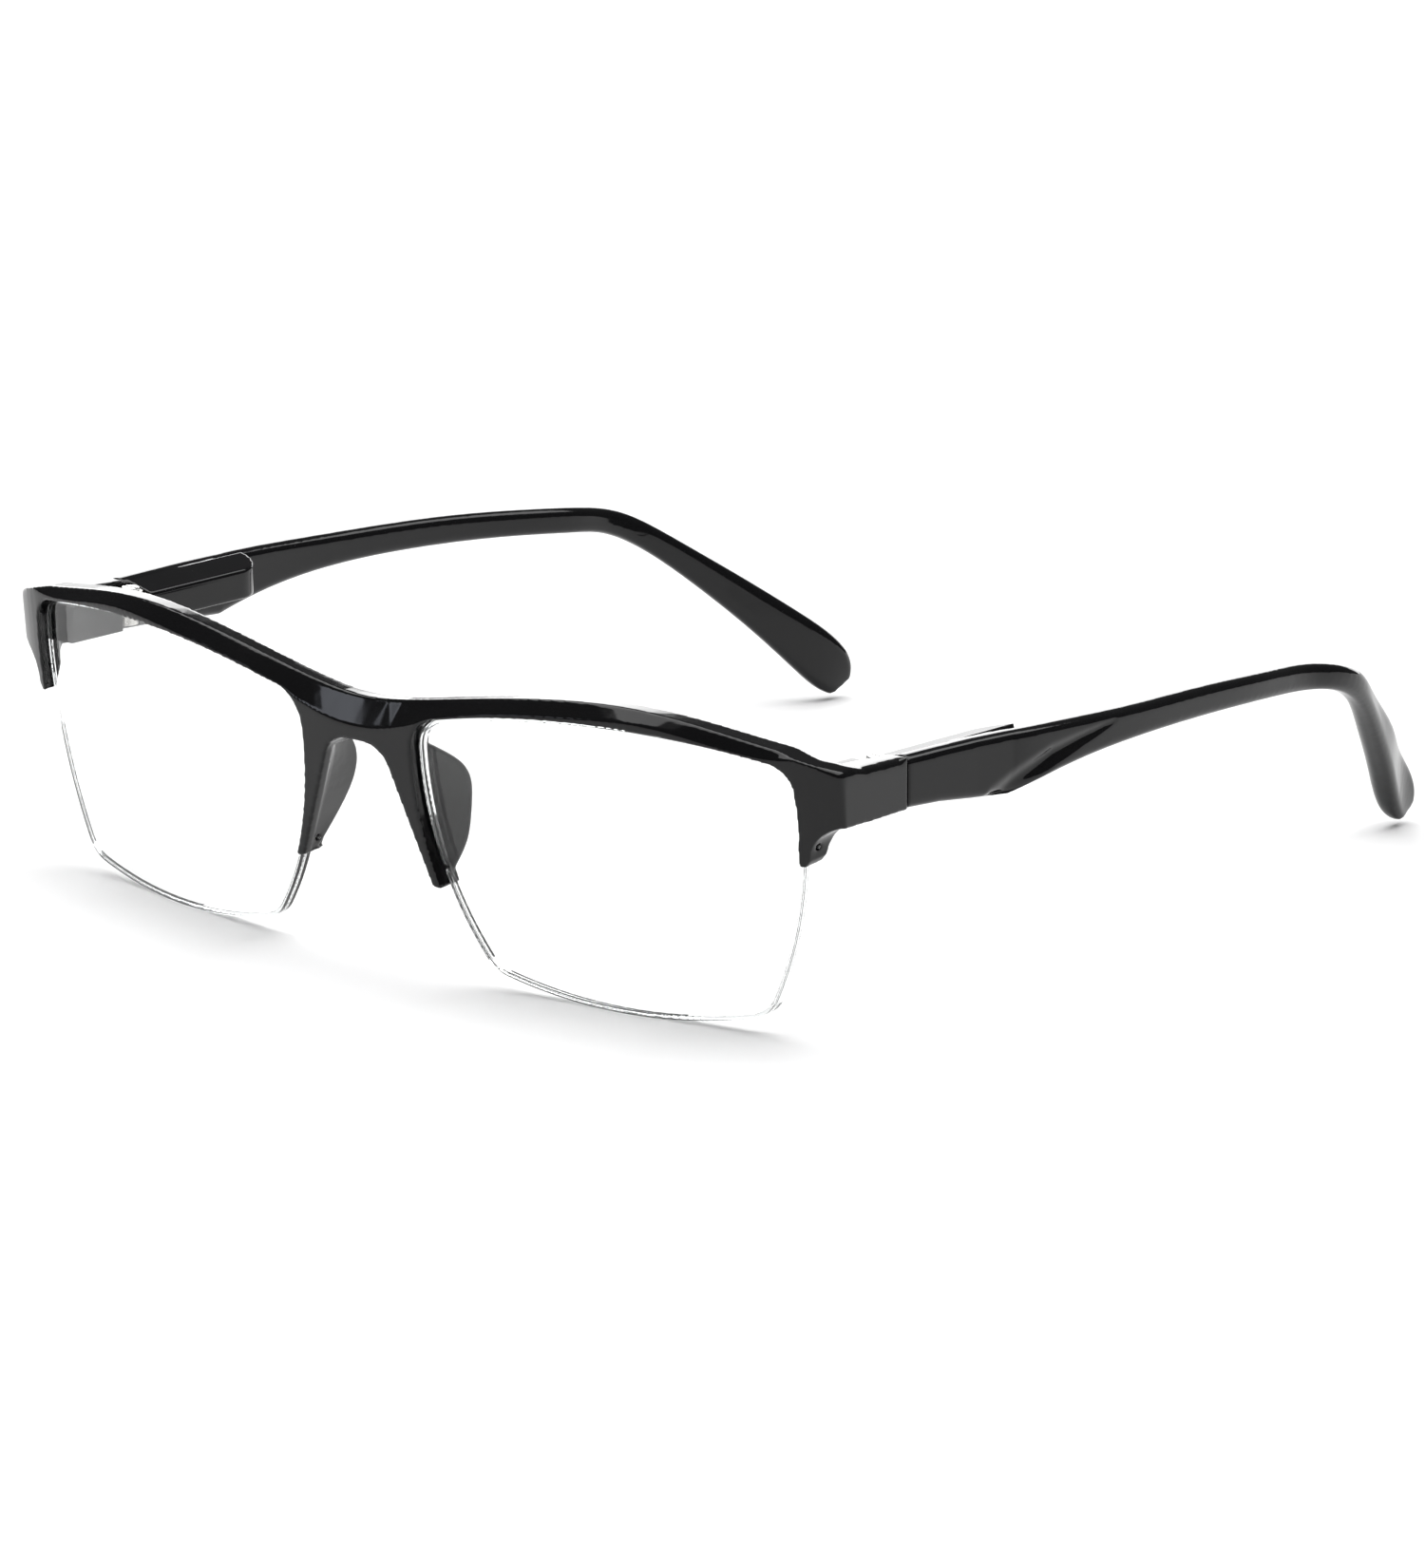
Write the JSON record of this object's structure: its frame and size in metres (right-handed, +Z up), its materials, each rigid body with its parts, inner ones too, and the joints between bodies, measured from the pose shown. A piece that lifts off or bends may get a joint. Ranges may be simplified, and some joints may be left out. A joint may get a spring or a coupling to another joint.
{
  "type": "half rim eyeglasses",
  "caption": "Half rim eyeglasses: moulded brow bar with nose pads, clear lenses held by a cord below, and temples on spring hinges that fold inwards.",
  "frame": {"origin": "middle of the footprint, on the surface that the open glasses stand on", "axes": "+Z up, -Y the way the front faces, +X towards the wearer's left temple"},
  "size_m": [0.138, 0.1443, 0.0394],
  "materials": {
    "black_plastic": "high gloss moulded",
    "lens_clear": "polished clear",
    "nylon_cord": "clear drawn nylon",
    "hinge_metal": "satin plated",
    "screw_metal": "polished",
    "spring_steel": "drawn wire"
  },
  "bodies": {
    "front": {"front_frame": "black_plastic", "lens_left": "lens_clear", "lens_right": "lens_clear", "lens_cord_left": "nylon_cord", "lens_cord_right": "nylon_cord", "lens_liner_left": "nylon_cord", "lens_liner_right": "nylon_cord", "hinge_leaf_left": "hinge_metal", "hinge_leaf_right": "hinge_metal"},
    "screw_left": {"hinge_screw_left": "screw_metal"},
    "slider_left": {"spring_slider_left": "hinge_metal", "rod_nut_left": "screw_metal"},
    "temple_left": {"temple_left": "black_plastic", "spring_box_left": "hinge_metal", "guide_bush_left": "hinge_metal", "hinge_spring_left": "spring_steel"},
    "screw_right": {"hinge_screw_right": "screw_metal"},
    "slider_right": {"spring_slider_right": "hinge_metal", "rod_nut_right": "screw_metal"},
    "temple_right": {"temple_right": "black_plastic", "spring_box_right": "hinge_metal", "guide_bush_right": "hinge_metal", "hinge_spring_right": "spring_steel"}
  },
  "joints": [
    {"name": "fold_left", "type": "hinge", "parent": "front", "child": "screw_left", "pos_m": [0.0627, -0.0471, 0.031], "axis": [0, 0, 1], "range_deg": [0, 86]},
    {"name": "flex_left", "type": "hinge", "parent": "screw_left", "child": "slider_left", "pos_m": [0.0627, -0.0471, 0.031], "axis": [0, 0, 1], "range_deg": [-10, 0], "stiffness_Nm_per_rad": 0.2, "springref_deg": 5.73},
    {"name": "pull_left", "type": "slide", "parent": "slider_left", "child": "temple_left", "axis": [0, 1, 0], "range_m": [0, 0.00096], "deforming": ["hinge_spring_left"]},
    {"name": "fold_right", "type": "hinge", "parent": "front", "child": "screw_right", "pos_m": [-0.0627, -0.0471, 0.031], "axis": [0, 0, -1], "range_deg": [0, 64]},
    {"name": "flex_right", "type": "hinge", "parent": "screw_right", "child": "slider_right", "pos_m": [-0.0627, -0.0471, 0.031], "axis": [0, 0, -1], "range_deg": [-10, 0], "stiffness_Nm_per_rad": 0.2, "springref_deg": 5.73},
    {"name": "pull_right", "type": "slide", "parent": "slider_right", "child": "temple_right", "axis": [0, 1, 0], "range_m": [0, 0.00096], "deforming": ["hinge_spring_right"]}
  ],
  "couplings": [
    {"joint": "pull_left", "follows": "flex_left", "m_per_rad": -0.005443},
    {"joint": "pull_right", "follows": "flex_right", "m_per_rad": -0.005443}
  ]
}
